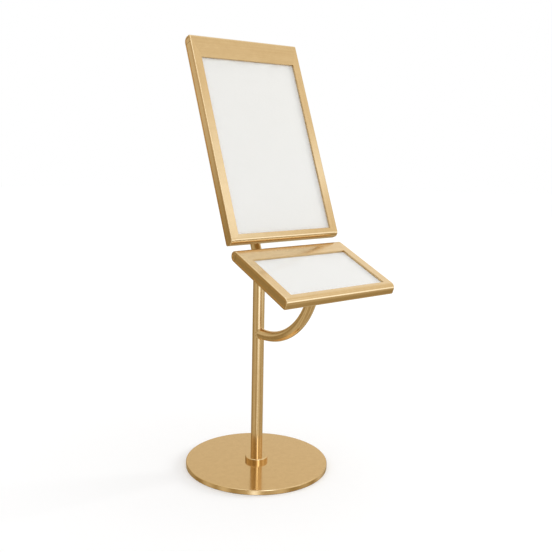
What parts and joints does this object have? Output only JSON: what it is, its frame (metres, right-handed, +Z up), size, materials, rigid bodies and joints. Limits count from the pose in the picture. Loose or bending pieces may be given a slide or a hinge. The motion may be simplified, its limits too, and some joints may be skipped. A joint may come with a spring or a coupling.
{
  "type": "two-tier display stand",
  "caption": "Floor or desk stand with a tall leaned display casing above a shallow sloped one, on a bent tube pole with a round weighted foot and sheet trays that slide out sideways.",
  "frame": {"origin": "centre of the round foot, on the plane of its underside, on the pole's axis", "axes": "+Z up along the pole, -Y towards the person who reads the stand, +X to that person's right"},
  "size_m": [0.35, 0.4696, 1.0385],
  "materials": {
    "brushed_brass": "brushed, clear-lacquered",
    "ballast_iron": "as cast, painted dark",
    "pad_rubber": "matte",
    "clear_pane": "clear, polished",
    "paper_sheet": "matte",
    "backing_board": "matte grey board",
    "aluminium_inner": "mill finish",
    "zinc_steel": "zinc plated"
  },
  "bodies": {
    "stand": {"base_cover": "brushed_brass", "base_weight": "ballast_iron", "base_pad": "pad_rubber", "base_bolt": "zinc_steel", "base_washer": "zinc_steel", "pole_plug": "zinc_steel", "foot_collar": "brushed_brass", "pole": "brushed_brass", "pole_ring": "brushed_brass", "neck_elbow": "brushed_brass", "neck_tube": "brushed_brass", "neck_cap": "brushed_brass", "standoff_tubes": "brushed_brass", "upper_mount_plate": "brushed_brass", "upper_mount_screws": "zinc_steel", "upper_mount_nuts": "zinc_steel", "arm_tube": "brushed_brass", "arm_flange": "brushed_brass", "lower_mount_screws": "zinc_steel", "lower_mount_nuts": "zinc_steel", "upper_header": "brushed_brass", "upper_bottom_rail": "brushed_brass", "upper_left_rail": "brushed_brass", "upper_right_rail": "brushed_brass", "upper_side_plate": "brushed_brass", "upper_end_caps": "brushed_brass", "upper_back_cover": "brushed_brass", "upper_cover_screws": "zinc_steel", "upper_guides": "aluminium_inner", "upper_stop": "aluminium_inner", "upper_pane": "clear_pane", "lower_header": "brushed_brass", "lower_front_rail": "brushed_brass", "lower_left_rail": "brushed_brass", "lower_right_rail": "brushed_brass", "lower_side_plate": "brushed_brass", "lower_end_caps": "brushed_brass", "lower_back_cover": "brushed_brass", "lower_cover_screws": "zinc_steel", "lower_guides": "aluminium_inner", "lower_stop": "aluminium_inner", "lower_pane": "clear_pane"},
    "upper_tray": {"upper_sheet": "paper_sheet", "upper_board": "backing_board", "upper_tray_front": "brushed_brass", "upper_tray_angles": "aluminium_inner", "upper_tray_rivets": "aluminium_inner", "upper_tray_tab": "aluminium_inner"},
    "lower_tray": {"lower_sheet": "paper_sheet", "lower_board": "backing_board", "lower_tray_front": "brushed_brass", "lower_tray_angles": "aluminium_inner", "lower_tray_rivets": "aluminium_inner", "lower_tray_tab": "aluminium_inner"}
  },
  "joints": [
    {"name": "upper_tray_slide", "type": "slide", "parent": "stand", "child": "upper_tray", "axis": [1, 0, 0], "range_m": [0, 0.235]},
    {"name": "lower_tray_slide", "type": "slide", "parent": "stand", "child": "lower_tray", "axis": [1, 0, 0], "range_m": [0, 0.232]}
  ]
}
